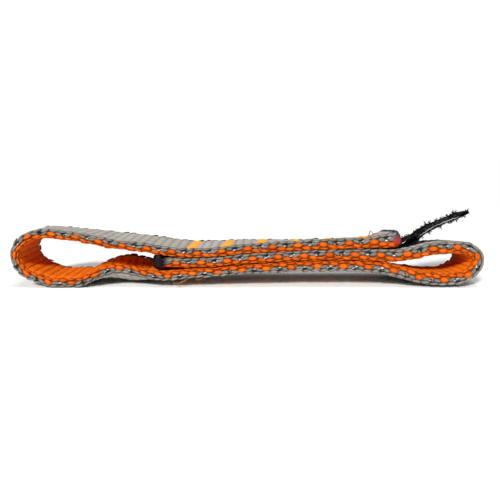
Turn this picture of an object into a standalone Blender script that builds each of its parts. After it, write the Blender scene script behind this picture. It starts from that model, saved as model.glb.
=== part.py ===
"""Short webbing sling: one strap folded into three sewn plies with a loop at each end.

The strap is one flat spiral. It starts at the inner cut end, runs right as the middle ply, turns back
round the small loop, runs left as the bottom ply, turns round the large loop, and runs right again as the
top ply to the outer cut end. Six bar tacks hold the three plies. A folded label tape is sewn in under the
top ply. Lengths are metres, +X runs along the sling, +Y across the strap, +Z up, floor at Z = 0.
"""
import math

import bmesh
import bpy
from mathutils import Matrix, Vector

MM = 0.001
DEG = math.radians(1.0)

STRAP_WIDTH = 20.0 * MM
STRAP_THICKNESS = 2.2 * MM
GAP = 0.3 * MM  # kept between pieces that touch

# centreline of the strap seen from the side, (x, z) in mm, from the inner cut end to the outer cut end
MIDDLE_PLY_ROUTE = [
    (-22.8, 6.5), (-15, 6.4), (-9, 6.45), (-2, 6.9), (6, 7.2), (16, 7.4), (26, 7.5), (34, 7.4),
    (38, 7.4), (42, 8.1), (46, 8.95),
]
SMALL_LOOP_ROUTE = [
    (50, 9.4), (54, 9.5), (56.9, 9.15), (58.5, 8.0), (58.95, 6.4), (58.3, 4.6), (56.6, 3.0),
    (54, 1.95), (50.5, 1.66), (46.5, 1.9),
]
BOTTOM_PLY_ROUTE = [
    (42, 2.6), (38, 3.3), (34, 3.9), (30, 4.3), (22, 4.6), (14, 4.6), (6, 4.45), (-2, 4.2),
    (-9, 3.9), (-14, 3.7), (-18, 3.2), (-22, 3.05),
]
LARGE_LOOP_ROUTE = [
    (-26, 3.05), (-30, 3.45), (-33.5, 3.9), (-37, 3.55), (-40.5, 2.4), (-43.5, 1.2), (-46, 1.05),
    (-49, 1.2), (-52, 1.95), (-55, 3.1), (-57.3, 4.5), (-58.8, 6.4), (-59.25, 8.5), (-58.6, 10.6),
    (-57, 12.35), (-54.5, 13.3), (-51, 13.4), (-47, 13.0), (-43, 12.6), (-39, 12.0), (-35, 11.3),
    (-30, 10.8), (-25, 10.15),
]
TOP_PLY_ROUTE = [
    (-20, 9.4), (-15, 8.95), (-9, 9.0), (-2, 9.5), (6, 9.8), (16, 10.05), (22, 10.25), (30, 10.6),
    (34, 10.95), (37, 11.45), (38.9, 11.95),
]
STRAP_ROUTE = (
    MIDDLE_PLY_ROUTE + SMALL_LOOP_ROUTE + BOTTOM_PLY_ROUTE + LARGE_LOOP_ROUTE + TOP_PLY_ROUTE
)

# the strap is banked about X: its near edge stands higher than its far edge
CORE_BANK = 6.3 * DEG
SMALL_LOOP_BANK = 3.2 * DEG
CORE_BANK_X = (-20.0 * MM, 22.0 * MM)  # bank grows over this stretch
SMALL_LOOP_BANK_X = (34.0 * MM, 48.0 * MM)  # and eases over this one
UPPER_ARM_BANK = 3.4 * DEG  # the large loop's upper arm is banked too, between these two stretches
UPPER_ARM_BANK_X = (-59.0 * MM, -50.0 * MM, -47.0 * MM, -31.0 * MM)

# the lower arm of the large loop humps up and cups: both its edges curl above its middle
CUP_DEPTH = 3.4 * MM
CUP_CENTRE_X = -31.5 * MM
CUP_HALF_LENGTH = 11.0 * MM

# places along X where one piece of the strap gives way to the next
INNER_SEAL_LENGTH = 1.2 * MM
OUTER_SEAL_X = 37.6 * MM
LARGE_FLEX_X = (-31.0 * MM, -23.5 * MM)
SMALL_FLEX_X = (40.5 * MM, 46.0 * MM)

SAMPLE_STEP = 0.25 * MM
SECTION_TURN = 9.0 * DEG  # most turn between two sections
SECTION_STEP = 5.0 * MM  # most length between two sections
ACROSS = (-1.0, -0.68, -0.34, 0.0, 0.34, 0.68, 1.0)

TACK_X = [-14.1 * MM, -5.1 * MM, 3.9 * MM, 12.9 * MM, 21.8 * MM, 31.4 * MM]
TACK_LENGTH = 17.0 * MM
TACK_WIDTH = 2.5 * MM
TACK_STEM_WIDTH = 1.6 * MM
TACK_HEAD = 0.35 * MM
TACK_SKEW = 3.0 * DEG  # the far end of each tack leans towards +X

LABEL_WIDTH = 12.0 * MM
LABEL_ROUTE = [
    (33.2, 9.12), (36.5, 9.2), (39.2, 9.6), (41.0, 10.2), (42.9, 11.0), (45.0, 12.45), (47.6, 14.2),
    (51.0, 15.85), (54.5, 17.25), (57.2, 18.65),
]
LABEL_BANK = 7.5 * DEG
LABEL_THIN = 0.6 * MM  # pressed flat between the plies
LABEL_THICK = 1.4 * MM  # where its two layers spring apart
LABEL_SPREAD_X = (38.0 * MM, 44.0 * MM)
LABEL_FLEX_X = (39.6 * MM, 43.0 * MM)


def clear_scene():
    """Remove every object of the scene."""
    for obj in list(bpy.data.objects):
        bpy.data.objects.remove(obj, do_unlink=True)


def make_collection(name):
    """A new collection under the scene's own."""
    collection = bpy.data.collections.new(name)
    bpy.context.scene.collection.children.link(collection)
    return collection


def make_material(name, colour, roughness, metallic=0.0):
    """A plain Principled material."""
    material = bpy.data.materials.new(name)
    material.use_nodes = True
    shader = material.node_tree.nodes["Principled BSDF"]
    shader.inputs["Base Color"].default_value = (*colour, 1.0)
    shader.inputs["Roughness"].default_value = roughness
    shader.inputs["Metallic"].default_value = metallic
    return material


def smooth(value, start, end):
    """0 before start, 1 after end, and an S-curve between."""
    share = min(max((value - start) / (end - start), 0.0), 1.0)
    return share * share * (3.0 - 2.0 * share)


def strap_bank(x, on_upper_arm=False):
    """Angle by which the near edge is raised at x."""
    bank = CORE_BANK * smooth(x, *CORE_BANK_X)
    bank -= (CORE_BANK - SMALL_LOOP_BANK) * smooth(x, *SMALL_LOOP_BANK_X)
    if on_upper_arm:
        grows = smooth(x, *UPPER_ARM_BANK_X[:2])
        bank += UPPER_ARM_BANK * grows * (1.0 - smooth(x, *UPPER_ARM_BANK_X[2:]))
    return bank


def spline(points_mm):
    """A dense centripetal Catmull-Rom curve through the points, as vectors in the XZ plane."""
    points = [Vector((x * MM, 0.0, z * MM)) for x, z in points_mm]
    points = [2 * points[0] - points[1]] + points + [2 * points[-1] - points[-2]]
    dense = []
    for a, b, c, d in zip(points, points[1:], points[2:], points[3:]):
        t1 = math.sqrt((b - a).length)
        t2 = t1 + math.sqrt((c - b).length)
        t3 = t2 + math.sqrt((d - c).length)
        count = max(2, round((c - b).length / SAMPLE_STEP))
        for step in range(count):
            t = t1 + (t2 - t1) * step / count
            ab = a.lerp(b, t / t1)
            bc = b.lerp(c, (t - t1) / (t2 - t1))
            cd = c.lerp(d, (t - t2) / (t3 - t2))
            abc = ab.lerp(bc, t / t2)
            bcd = bc.lerp(cd, (t - t1) / (t3 - t1))
            dense.append(abc.lerp(bcd, (t - t1) / (t2 - t1)))
    dense.append(points[-2])
    return dense


def rest_on_floor(curve):
    """The strap lies flat where its route would dip under the floor."""
    lowest = STRAP_THICKNESS / 2
    return [Vector((p.x, p.y, max(p.z, lowest))) for p in curve]


def tangent(curve, index):
    """Unit direction of travel at a sample."""
    ahead = curve[min(index + 1, len(curve) - 1)]
    behind = curve[max(index - 1, 0)]
    return (ahead - behind).normalized()


def on_floor(point):
    """Whether the strap lies on the floor at a point of its centreline."""
    return point.z < STRAP_THICKNESS / 2 + MM / 1000


def section_places(curve, first, last):
    """Samples that get a cross section: where the curve meets or leaves the floor, or has turned or
    run on far enough."""
    places = [first]
    for index in range(first + 1, last):
        if on_floor(curve[index]) != on_floor(curve[index - 1]):
            places.append(index if on_floor(curve[index]) else index - 1)
            continue
        turn = tangent(curve, index).angle(tangent(curve, places[-1]))
        run = (curve[index] - curve[places[-1]]).length
        if turn > SECTION_TURN or run > SECTION_STEP:
            places.append(index)
    if (curve[last] - curve[places[-1]]).length < 4 * SAMPLE_STEP and len(places) > 1:
        places.pop()
    return places + [last]


def frame_at(curve, index, bank):
    """Point, across and outward directions of the strap at a sample."""
    across = Vector((0.0, math.cos(bank), -math.sin(bank)))
    along = tangent(curve, index)
    return curve[index], across, along.cross(across).normalized()


def loft(name, rings, collection, material):
    """A closed solid through rings of equal point count, capped at both ends."""
    mesh = bpy.data.meshes.new(name)
    shell = bmesh.new()
    verts = [[shell.verts.new(point) for point in ring] for ring in rings]
    count = len(rings[0])
    for ring, following in zip(verts, verts[1:]):
        for i in range(count):
            j = (i + 1) % count
            shell.faces.new((ring[i], ring[j], following[j], following[i]))
    shell.faces.new(reversed(verts[0]))
    shell.faces.new(verts[-1])
    bmesh.ops.recalc_face_normals(shell, faces=shell.faces)
    shell.to_mesh(mesh)
    shell.free()
    obj = bpy.data.objects.new(name, mesh)
    obj.data.materials.append(material)
    collection.objects.link(obj)
    return obj


def cup_at(x, on_lower_arm):
    """How far the edges of the lower arm curl above its middle at x."""
    if not on_lower_arm:
        return 0.0
    reach = abs(x - CUP_CENTRE_X) / CUP_HALF_LENGTH
    return CUP_DEPTH * (1.0 - smooth(reach, 0.0, 1.0))


def band_ring(point, across, outward, width, thickness, cup):
    """One cross section of a band: its upper side from edge to edge, then its lower side back."""
    upper, lower = [], []
    for share in ACROSS:
        bow = Vector((0.0, 0.0, cup * (share * share - 0.5)))
        middle = point + across * (share * width / 2) + bow
        upper.append(middle + outward * (thickness / 2))
        lower.append(middle - outward * (thickness / 2))
    return upper + lower[::-1]


class Strap:
    """The strap's curve, and the samples where its branches begin and end."""

    def __init__(self):
        self.curve = rest_on_floor(spline(STRAP_ROUTE))
        xs = [p.x for p in self.curve]
        self.right_turn = xs.index(max(xs))
        self.left_turn = xs.index(min(xs))
        self.last = len(xs) - 1

    def sample(self, branch, x):
        """Index of the sample nearest x on the branch: middle, bottom or top."""
        first, last = {
            "middle": (0, self.right_turn),
            "bottom": (self.right_turn, self.left_turn),
            "top": (self.left_turn, self.last),
        }[branch]
        return min(range(first, last + 1), key=lambda i: abs(self.curve[i].x - x))

    def stretch(self, name, start, end, collection, material):
        """The solid of the strap between two samples."""
        rings = []
        for index in section_places(self.curve, start, end):
            bank = strap_bank(self.curve[index].x, index > self.left_turn)
            point, across, outward = frame_at(self.curve, index, bank)
            lower_arm = self.right_turn < index < self.left_turn
            cup = cup_at(point.x, lower_arm)
            rings.append(band_ring(point, across, outward, STRAP_WIDTH, STRAP_THICKNESS, cup))
        return loft(name, rings, collection, material)

    def height(self, branch, x):
        """Height of the strap's centreline at x on the branch."""
        return self.curve[self.sample(branch, x)].z


def build_strap(strap, parts, webbing, sealed):
    """Every stretch of the strap, from the inner cut end to the outer one."""
    half = GAP / 2
    large_left, large_right = LARGE_FLEX_X
    small_left, small_right = SMALL_FLEX_X
    inner_end = MIDDLE_PLY_ROUTE[0][0] * MM
    stretches = [
        ("inner_end_seal", ("middle", inner_end), ("middle", inner_end + INNER_SEAL_LENGTH - half)),
        ("middle_ply", ("middle", inner_end + INNER_SEAL_LENGTH + half), ("middle", small_left - half)),
        ("small_loop_flex_upper", ("middle", small_left + half), ("middle", small_right - half)),
        ("small_loop", ("middle", small_right + half), ("bottom", small_right + half)),
        ("small_loop_flex_lower", ("bottom", small_right - half), ("bottom", small_left + half)),
        ("bottom_ply", ("bottom", small_left - half), ("bottom", large_right + half)),
        ("large_loop_flex_lower", ("bottom", large_right - half), ("bottom", large_left + half)),
        ("large_loop", ("bottom", large_left - half), ("top", large_left - half)),
        ("large_loop_flex_upper", ("top", large_left + half), ("top", large_right - half)),
        ("top_ply", ("top", large_right + half), ("top", OUTER_SEAL_X - half)),
        ("outer_end_seal", ("top", OUTER_SEAL_X + half), ("top", TOP_PLY_ROUTE[-1][0] * MM)),
    ]
    made = {}
    for name, start, end in stretches:
        material = sealed if name.endswith("seal") else webbing
        made[name] = strap.stretch(name, strap.sample(*start), strap.sample(*end), parts, material)
    return made


def tack_outline(stem, head_width, lower, upper, name, collection):
    """The I-shaped outline of one tack, extruded to its length across the strap."""
    h, s = head_width / 2, stem / 2
    low_head, high_head = lower + TACK_HEAD, upper - TACK_HEAD
    corners = [
        (-h, lower), (h, lower), (h, low_head), (s, low_head), (s, high_head), (h, high_head),
        (h, upper), (-h, upper), (-h, high_head), (-s, high_head), (-s, low_head), (-h, low_head),
    ]
    curve = bpy.data.curves.new(name, "CURVE")
    curve.dimensions = "2D"
    curve.fill_mode = "BOTH"
    curve.extrude = TACK_LENGTH / 2
    outline = curve.splines.new("POLY")
    outline.points.add(len(corners) - 1)
    for point, (x, y) in zip(outline.points, corners):
        point.co = (x, y, 0.0, 1.0)
    outline.use_cyclic_u = True
    obj = bpy.data.objects.new(name, curve)
    collection.objects.link(obj)
    return obj


def curve_to_mesh(obj, collection, material):
    """Replace a filled curve by its mesh with the caps welded on."""
    graph = bpy.context.evaluated_depsgraph_get()
    mesh = bpy.data.meshes.new_from_object(obj.evaluated_get(graph))
    shell = bmesh.new()
    shell.from_mesh(mesh)
    bmesh.ops.remove_doubles(shell, verts=shell.verts, dist=MM / 1000)
    bmesh.ops.recalc_face_normals(shell, faces=shell.faces)
    shell.to_mesh(mesh)
    shell.free()
    name, placed = obj.name, obj.matrix_world.copy()
    bpy.data.objects.remove(obj, do_unlink=True)
    solid = bpy.data.objects.new(name, mesh)
    solid.matrix_world = placed
    solid.data.materials.clear()
    solid.data.materials.append(material)
    collection.objects.link(solid)
    return solid


def tack_place(strap, x):
    """Where a tack stands: its matrix, and its lowest and highest point measured from the middle ply."""
    middle, top, bottom = (strap.height(branch, x) for branch in ("middle", "top", "bottom"))
    index = strap.sample("middle", x)
    point, across, outward = frame_at(strap.curve, index, strap_bank(x))
    along = across.cross(outward)
    turn = Matrix((along, outward, -across)).transposed().to_4x4()
    skew = Matrix.Rotation(TACK_SKEW, 4, outward)
    matrix = Matrix.Translation(point) @ skew @ turn
    reach = STRAP_THICKNESS / 2 + GAP + TACK_HEAD
    return matrix, bottom - middle - reach, top - middle + reach


def build_tacks(strap, parts, cutters, plies, thread):
    """Six bar tacks through the three plies, each in a slot of its own."""
    slots = []
    for number, x in enumerate(TACK_X, start=1):
        matrix, lower, upper = tack_place(strap, x)
        tack = tack_outline(TACK_STEM_WIDTH, TACK_WIDTH, lower, upper, f"bar_tack_{number}", parts)
        tack.matrix_world = matrix
        bpy.context.view_layer.update()
        curve_to_mesh(tack, parts, thread)
        bpy.ops.mesh.primitive_cube_add(size=1.0)
        slot = bpy.context.active_object
        slot.name = f"tack_slot_{number}"
        size = Matrix.Diagonal((TACK_STEM_WIDTH + 2 * GAP, 2 * (upper - lower), TACK_LENGTH + 2 * GAP, 1.0))
        slot.data.transform(matrix @ size)
        for owner in slot.users_collection:
            owner.objects.unlink(slot)
        cutters.objects.link(slot)
        slot.hide_render = True
        slot.display_type = "WIRE"
        slots.append(slot)
    for ply in plies:
        for slot in slots:
            cut = ply.modifiers.new(slot.name, "BOOLEAN")
            cut.operation = "DIFFERENCE"
            cut.solver = "EXACT"
            cut.object = slot


def label_stretch(name, curve, start_x, end_x, parts, tape):
    """The solid of the label tape between two places along X."""
    first = min(range(len(curve)), key=lambda i: abs(curve[i].x - start_x))
    last = min(range(len(curve)), key=lambda i: abs(curve[i].x - end_x))
    rings = []
    for index in section_places(curve, first, last):
        point, across, outward = frame_at(curve, index, LABEL_BANK)
        spread = smooth(point.x, *LABEL_SPREAD_X)
        thickness = LABEL_THIN + (LABEL_THICK - LABEL_THIN) * spread
        rings.append(band_ring(point, across, outward, LABEL_WIDTH, thickness, 0.0))
    return loft(name, rings, parts, tape)


def build_label(parts, tape):
    """The label tape: its root between the plies, the bend it flips about, and the free flag."""
    curve = spline(LABEL_ROUTE)
    flex_start, flex_end = LABEL_FLEX_X
    half = GAP / 2
    label_stretch("label_root", curve, LABEL_ROUTE[0][0] * MM, flex_start - half, parts, tape)
    label_stretch("label_flex", curve, flex_start + half, flex_end - half, parts, tape)
    label_stretch("label_flag", curve, flex_end + half, LABEL_ROUTE[-1][0] * MM, parts, tape)


def main():
    """Build the sling."""
    clear_scene()
    parts = make_collection("looped_webbing_sling")
    cutters = make_collection("cutters")
    webbing = make_material("woven_nylon_webbing", (0.60, 0.22, 0.06), 0.75)
    sealed = make_material("melted_nylon", (0.05, 0.03, 0.04), 0.35)
    thread = make_material("polyester_thread", (0.95, 0.38, 0.02), 0.55)
    tape = make_material("woven_label_tape", (0.006, 0.006, 0.008), 0.7)
    strap = Strap()
    made = build_strap(strap, parts, webbing, sealed)
    plies = [made["top_ply"], made["middle_ply"], made["bottom_ply"]]
    build_tacks(strap, parts, cutters, plies, thread)
    build_label(parts, tape)


main()
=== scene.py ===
"""Looks of a short looped webbing sling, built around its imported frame.

The sling is one woven nylon strap, grey on its outer face and orange on its inner face, folded in a flat
spiral into three plies with a loop at each end. Six bar tacks hold the plies, and a black label tape with
frayed edges is sewn in under the top ply. Everything is in metres, in the frame's own axes.
"""

from __future__ import annotations

import logging
import math
from dataclasses import astuple, dataclass, field
from enum import Enum
from typing import Any

import bpy
import numpy as np
from mathutils import Matrix, Vector

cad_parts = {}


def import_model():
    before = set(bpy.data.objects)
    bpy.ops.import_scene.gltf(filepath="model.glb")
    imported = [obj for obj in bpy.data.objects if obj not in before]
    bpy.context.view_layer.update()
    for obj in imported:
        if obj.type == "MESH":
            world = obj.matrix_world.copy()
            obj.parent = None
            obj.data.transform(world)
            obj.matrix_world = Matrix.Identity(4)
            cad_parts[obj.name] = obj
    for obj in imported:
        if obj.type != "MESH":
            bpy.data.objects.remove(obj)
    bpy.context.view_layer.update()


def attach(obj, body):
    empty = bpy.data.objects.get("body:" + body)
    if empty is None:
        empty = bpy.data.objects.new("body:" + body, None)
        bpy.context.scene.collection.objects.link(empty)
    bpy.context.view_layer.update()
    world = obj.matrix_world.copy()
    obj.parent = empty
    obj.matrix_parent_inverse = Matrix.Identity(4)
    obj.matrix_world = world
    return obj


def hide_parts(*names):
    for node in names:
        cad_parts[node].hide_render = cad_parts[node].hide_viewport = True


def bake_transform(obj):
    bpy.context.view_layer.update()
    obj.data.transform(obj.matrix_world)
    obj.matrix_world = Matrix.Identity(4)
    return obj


LOG = logging.getLogger("looped_sling")
MM = 0.001

# the strap's centreline seen from the side, (x, z) in mm, from its inner cut end to its outer cut end
STRAP_ROUTE_MM = [
    (-22.8, 6.5), (-15, 6.4), (-9, 6.45), (-2, 6.9), (6, 7.2), (16, 7.4), (26, 7.5), (34, 7.4),
    (38, 7.4), (42, 8.1), (46, 8.95),
    (50, 9.4), (54, 9.5), (56.9, 9.15), (58.5, 8.0), (58.95, 6.4), (58.3, 4.6), (56.6, 3.0),
    (54, 1.95), (50.5, 1.66), (46.5, 1.9),
    (42, 2.65), (38, 3.5), (34, 4.25), (30, 4.5), (22, 4.65), (14, 4.6), (6, 4.45), (-2, 4.2),
    (-9, 3.9), (-14, 3.7), (-18, 3.2), (-22, 3.05),
    (-26, 3.05), (-30, 3.45), (-33.5, 3.9), (-37, 3.55), (-40.5, 2.4), (-43.5, 1.2), (-46, 1.05),
    (-49, 1.2), (-52, 1.95), (-55, 3.1), (-57.3, 4.5), (-58.8, 6.4), (-59.25, 8.5), (-58.6, 10.6),
    (-57, 12.35), (-54.5, 13.3), (-51, 13.4), (-47, 13.0), (-43, 12.6), (-39, 12.0), (-35, 11.3),
    (-30, 10.8), (-25, 10.15),
    (-20, 9.4), (-15, 8.95), (-9, 9.0), (-2, 9.5), (6, 9.8), (16, 10.05), (22, 10.25), (30, 10.6),
    (34, 10.95), (37, 11.45), (38.9, 11.95),
]

# the label tape's centreline, from between the plies to its folded tip
LABEL_ROUTE_MM = [
    (33.2, 9.12), (36.5, 9.2), (39.2, 9.6), (41.0, 10.2), (42.9, 11.0), (45.0, 12.45), (47.6, 14.2),
    (51.0, 15.85), (54.5, 17.25), (57.2, 18.65),
]

TACK_X = np.array([-14.1, -5.1, 3.9, 12.9, 21.8, 31.4]) * MM


class Ply(Enum):
    """The three branches of the folded strap."""

    MIDDLE = "middle"
    BOTTOM = "bottom"
    TOP = "top"


class Edge(Enum):
    """The strap's two long edges, by the sign of the place across."""

    NEAR = -1
    FAR = 1


def linear(hex_colour: str, alpha: float = 1.0) -> tuple[float, float, float, float]:
    """Turn an sRGB hex colour into a linear one.

    Args:
        hex_colour: six hex digits, such as "ff8020".
        alpha: the fourth value.

    Returns:
        Red, green, blue and alpha. Each channel c is c / 12.92 up to 0.04045, and above that
        ((c + 0.055) / 1.055) to the power 2.4.
    """
    channels = np.array([int(hex_colour[i : i + 2], 16) for i in (0, 2, 4)]) / 255.0
    low, high = channels / 12.92, ((channels + 0.055) / 1.055) ** 2.4
    red, green, blue = np.where(channels <= 0.04045, low, high)
    return float(red), float(green), float(blue), alpha


def smoothstep(value: np.ndarray | float, start: float, end: float) -> np.ndarray:
    """An S-curve: 0 at start, 1 at end, and 3t² - 2t³ between.

    Args:
        value: where it is read.
        start: where it leaves 0.
        end: where it reaches 1.

    Returns:
        The curve's value at each place.
    """
    share = np.clip((np.asarray(value, float) - start) / (end - start), 0.0, 1.0)
    return share * share * (3.0 - 2.0 * share)


def unit(vectors: np.ndarray) -> np.ndarray:
    """Vectors along the last axis, each divided by its length."""
    return vectors / np.linalg.norm(vectors, axis=-1, keepdims=True)


def catmull_rom(points: np.ndarray, per_span: int = 24) -> np.ndarray:
    """A centripetal Catmull-Rom curve through points.

    Each span blends the lines through its four nearest points, with knots spaced by the square root
    of the distance between points, so that it neither loops nor overshoots.

    Args:
        points: (n, 2) places that the curve passes through.
        per_span: samples from one point to the next.

    Returns:
        (m, 2) samples, the last point among them.
    """
    ends = np.vstack([2 * points[0] - points[1], points, 2 * points[-1] - points[-2]])
    a, b, c, d = ends[:-3, None], ends[1:-2, None], ends[2:-1, None], ends[3:, None]
    t1 = np.sqrt(np.linalg.norm(b - a, axis=-1, keepdims=True))
    t2 = t1 + np.sqrt(np.linalg.norm(c - b, axis=-1, keepdims=True))
    t3 = t2 + np.sqrt(np.linalg.norm(d - c, axis=-1, keepdims=True))
    t = t1 + (t2 - t1) * (np.arange(per_span) / per_span)[None, :, None]
    ab = a + (b - a) * t / t1
    bc = b + (c - b) * (t - t1) / (t2 - t1)
    cd = c + (d - c) * (t - t2) / (t3 - t2)
    abc = ab + (bc - ab) * t / t2
    bcd = bc + (cd - bc) * (t - t1) / (t3 - t1)
    curve = abc + (bcd - abc) * (t - t1) / (t2 - t1)
    return np.vstack([curve.reshape(-1, 2), points[-1]])


def wobble(places: np.ndarray, wavelength: float, seed: int) -> np.ndarray:
    """A smooth, irregular number from about -1 to 1 along a line.

    It is half of the sum of three sines whose wavelengths are 1, 0.62 and 0.37 of the one given,
    with fixed phases drawn from the seed.

    Args:
        places: where it is read.
        wavelength: length of the slowest sine.
        seed: picks the phases.

    Returns:
        One value for each place.
    """
    phases = np.random.default_rng(seed).uniform(0, 2 * math.pi, 3)
    waves = [
        np.sin(2 * math.pi * np.asarray(places) / (wavelength * share) + phase)
        for share, phase in zip((1.0, 0.62, 0.37), phases)
    ]
    return sum(waves) / 2.0


@dataclass
class MeshParts:
    """Arrays that become one mesh: points, faces, a material number a face, and values a point.

    With no material numbers, every face has the first material.
    """

    points: np.ndarray
    faces: list[np.ndarray]
    values: dict[str, np.ndarray]
    slots: list[np.ndarray] = field(default_factory=list)
    yarn: np.ndarray | None = None

    @staticmethod
    def join(several: list["MeshParts"]) -> "MeshParts":
        """Put several sets of arrays into one, with their face numbers moved along.

        Args:
            several: sets with the same value names.

        Returns:
            One set that holds them all.
        """
        shifts = np.cumsum([0] + [len(s.points) for s in several[:-1]])
        return MeshParts(
            points=np.concatenate([s.points for s in several]),
            faces=[f + shift for s, shift in zip(several, shifts) for f in s.faces],
            values={k: np.concatenate([s.values[k] for s in several]) for k in several[0].values},
            slots=[m for s in several for m in s.slots],
            yarn=np.concatenate([s.yarn for s in several]),
        )

    def build(self, name: str, materials: list[bpy.types.Material]) -> bpy.types.Object:
        """Make the object, smooth shaded, at the origin.

        Args:
            name: its name.
            materials: its material slots, in the order that slots counts them.

        Returns:
            The linked object.
        """
        mesh = bpy.data.meshes.new(name)
        corners = np.concatenate([f.ravel() for f in self.faces]).astype(np.int32)
        sizes = np.concatenate([np.full(len(f), f.shape[1]) for f in self.faces])
        starts = np.concatenate([[0], np.cumsum(sizes)[:-1]]).astype(np.int32)
        mesh.vertices.add(len(self.points))
        mesh.vertices.foreach_set("co", self.points.astype(np.float32).ravel())
        mesh.loops.add(len(corners))
        mesh.loops.foreach_set("vertex_index", corners)
        mesh.polygons.add(len(starts))
        mesh.polygons.foreach_set("loop_start", starts)
        mesh.polygons.foreach_set("use_smooth", np.ones(len(starts), bool))
        if self.slots:
            mesh.polygons.foreach_set("material_index", np.concatenate(self.slots).astype(np.int32))
        for key, value in self.values.items():
            layer = mesh.attributes.new(key, "FLOAT", "POINT")
            layer.data.foreach_set("value", value.astype(np.float32))
        if self.yarn is not None:
            layer = mesh.uv_layers.new(name="yarn")
            layer.data.foreach_set("uv", self.yarn[corners].astype(np.float32).ravel())
        mesh.update(calc_edges=True)
        mesh.validate()
        for material in materials:
            mesh.materials.append(material)
        obj = bpy.data.objects.new(name, mesh)
        bpy.context.scene.collection.objects.link(obj)
        LOG.info("%s: %d faces", name, len(mesh.polygons))
        return obj


def closed_rings(rings: int, sides: int) -> tuple[np.ndarray, np.ndarray]:
    """Faces of a stack of rings, with a fan that closes each end.

    The points are ring after ring, then the middle of the first ring and that of the last. A ring
    that runs anticlockwise, seen from the first ring towards the last, gets faces that point
    outwards. For one that runs clockwise each face's numbers are read backwards.

    Args:
        rings: rings of points.
        sides: points a ring.

    Returns:
        (n, 4) point numbers of the quads, ring by ring, and (2 * sides, 3) of the fans.
    """
    row, side = np.meshgrid(np.arange(rings - 1), np.arange(sides), indexing="ij")
    following = (side + 1) % sides
    here, above = row * sides, (row + 1) * sides
    quads = np.stack([above + side, above + following, here + following, here + side], axis=-1)
    side, following, last = side[0], following[0], (rings - 1) * sides
    middle = np.full(sides, rings * sides)
    first = np.stack([side, following, middle], axis=1)
    end = np.stack([last + following, last + side, middle + 1], axis=1)
    return quads.reshape(-1, 4), np.concatenate([first, end])


def repeated(faces: np.ndarray, count: int, size: int) -> np.ndarray:
    """A shape's faces, once for each of several copies whose points follow one another.

    Args:
        faces: the shape's own point numbers.
        count: how many copies.
        size: points a copy.

    Returns:
        The point numbers of every copy.
    """
    return (faces + (np.arange(count) * size)[:, None, None]).reshape(-1, faces.shape[1])


def add_node(
    tree: bpy.types.NodeTree, kind: str, inputs: dict[Any, Any] | None = None, **settings: Any
) -> bpy.types.Node:
    """Add a node with its settings, values and links.

    Args:
        tree: where it goes.
        kind: the node's type, such as "ShaderNodeMix".
        inputs: input name or number to a value, or to another node's output, which is linked.
        settings: the node's own properties.

    Returns:
        The node.
    """
    node = tree.nodes.new(kind)
    for key, value in settings.items():
        setattr(node, key, value)
    for key, value in (inputs or {}).items():
        if isinstance(value, bpy.types.NodeSocket):
            tree.links.new(value, node.inputs[key])
        else:
            node.inputs[key].default_value = value
    return node


# numbers of the colour sockets of a Mix node
MIX_A, MIX_B, MIX_COLOUR = 6, 7, 2

# a wave texture's bands are this far apart at scale 1, so a scale is this over the pitch wanted
WAVE_PITCH = 2 * math.pi / 20


@dataclass(frozen=True)
class Finish:
    """A material by its name. Each kind of material adds its colours, sizes and surface."""

    name: str

    def material(self) -> bpy.types.Material:
        """Build the material: one shader with what surface gives it.

        Returns:
            The material, named as the finish is.
        """
        material = bpy.data.materials.new(self.name)
        material.use_nodes = True
        tree = material.node_tree
        tree.nodes.clear()
        shader = add_node(tree, "ShaderNodeBsdfPrincipled", self.surface(tree))
        add_node(tree, "ShaderNodeOutputMaterial", {"Surface": shader.outputs["BSDF"]})
        return material

    def surface(self, tree: bpy.types.NodeTree) -> dict[str, Any]:
        """Add the nodes of its patterns.

        Args:
            tree: where they go.

        Returns:
            The shader's inputs, as values or as outputs to link.
        """
        raise NotImplementedError


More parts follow.
